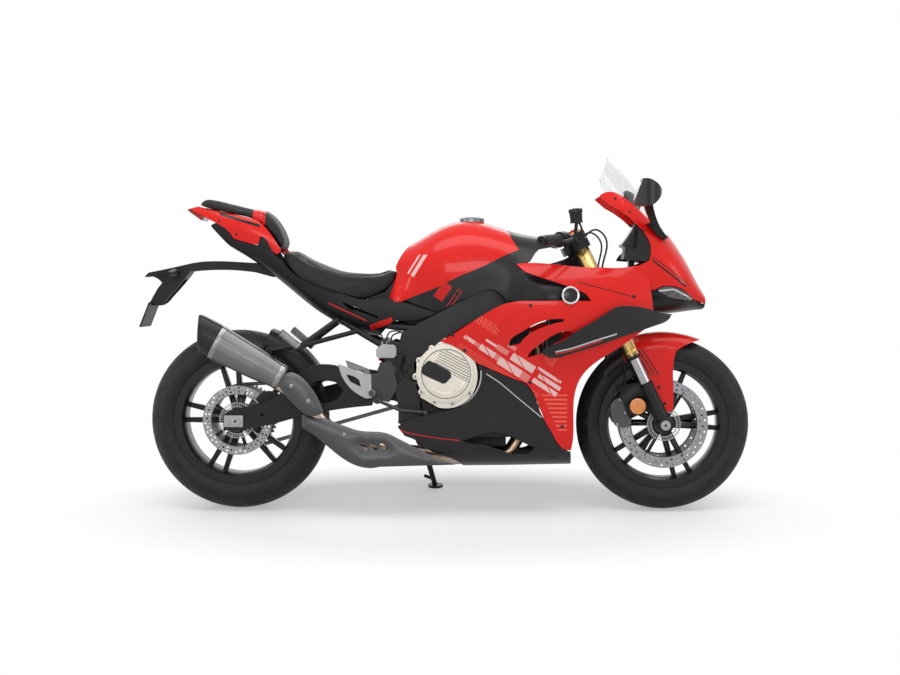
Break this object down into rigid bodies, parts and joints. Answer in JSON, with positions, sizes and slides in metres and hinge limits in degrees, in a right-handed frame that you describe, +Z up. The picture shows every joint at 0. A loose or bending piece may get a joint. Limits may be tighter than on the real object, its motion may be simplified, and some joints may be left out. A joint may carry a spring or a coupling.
{
  "type": "sport bike",
  "caption": "Full-fairing sport motorcycle parked on its side stand, with turning wheels, steering and a folding side stand.",
  "frame": {"origin": "on the ground, under the middle of the bike as it leans on its side stand", "axes": "+X forward, +Y to the rider's left, +Z up"},
  "size_m": [2.1158, 0.7794, 1.2075],
  "materials": {
    "red_paint": "gloss",
    "black_trim": "satin",
    "dark_grey": "satin",
    "frame_black": "satin",
    "engine_grey": "matt",
    "champagne_cast": "satin",
    "gold_anodised": "gloss",
    "black_cast": "satin",
    "wheel_black": "satin",
    "disc_steel": "brushed",
    "chain_steel": "oiled",
    "silencer_steel": "brushed",
    "pipe_steel": "heat tinted",
    "shield_dark": "matt",
    "tyre": "matt",
    "grip_rubber": "matt",
    "seat_vinyl": "matt",
    "screen_clear": "gloss",
    "lamp_lens": "gloss",
    "tail_lens": "gloss",
    "axle_steel": "satin",
    "radiator_core": "matt",
    "stand_steel": "satin"
  },
  "bodies": {
    "chassis": {"frame": "frame_black", "swingarm": "black_cast", "rear_axle": "axle_steel", "rear_caliper": "black_cast", "chain": "chain_steel", "rear_shock": "frame_black", "rear_hugger": "black_trim", "stand_bracket": "stand_steel", "engine_block": "engine_grey", "clutch_cover": "champagne_cast", "left_engine_covers": "champagne_cast", "radiator": "radiator_core", "exhaust_pipes": "pipe_steel", "silencer": "silencer_steel", "exhaust_shields": "shield_dark", "fuel_tank": "red_paint", "tank_front_cover": "black_trim", "tank_side_covers": "dark_grey", "side_fairing_right": "red_paint", "side_fairing_left": "red_paint", "air_deflectors": "black_trim", "belly_pan": "black_trim", "front_cowl": "red_paint", "headlights": "lamp_lens", "headlight_surround": "black_trim", "windscreen": "screen_clear", "dashboard": "black_trim", "mirrors": "black_trim", "rider_seat": "seat_vinyl", "pillion_seat": "seat_vinyl", "tail_fairing": "red_paint", "seat_trims": "dark_grey", "tail_light": "tail_lens", "plate_holder": "black_trim", "rearsets": "black_cast", "pillion_hangers": "black_cast"},
    "steering": {"fork_clamps": "black_cast", "fork_tubes": "gold_anodised", "fork_bottoms": "black_cast", "front_calipers": "black_cast", "handlebars": "black_cast", "grips": "grip_rubber", "hand_controls": "black_trim", "front_axle": "axle_steel", "front_fender": "red_paint"},
    "front_wheel": {"front_rim": "wheel_black", "front_tyre": "tyre", "front_discs": "disc_steel"},
    "rear_wheel": {"rear_rim": "wheel_black", "rear_tyre": "tyre", "rear_disc": "disc_steel", "rear_sprocket": "disc_steel"},
    "side_stand": {"side_stand": "stand_steel"}
  },
  "joints": [
    {"name": "steering_turn", "type": "hinge", "parent": "chassis", "child": "steering", "pos_m": [0.72905, -0.12913, 0.28351], "axis": [-0.4305, 0.149, 0.8902], "range_deg": [-26, 26]},
    {"name": "front_wheel_spin", "type": "hinge", "parent": "steering", "child": "front_wheel", "pos_m": [0.75794, -0.12685, 0.2971], "axis": [0, 0.9863, -0.165], "continuous": true},
    {"name": "rear_wheel_spin", "type": "hinge", "parent": "chassis", "child": "rear_wheel", "pos_m": [-0.71806, -0.12487, 0.30894], "axis": [0, 0.9863, -0.165], "continuous": true},
    {"name": "side_stand_fold", "type": "hinge", "parent": "chassis", "child": "side_stand", "pos_m": [-0.08607, -0.02285, 0.20365], "axis": [0, 0.8788, 0.4772], "range_deg": [0, 100]}
  ]
}
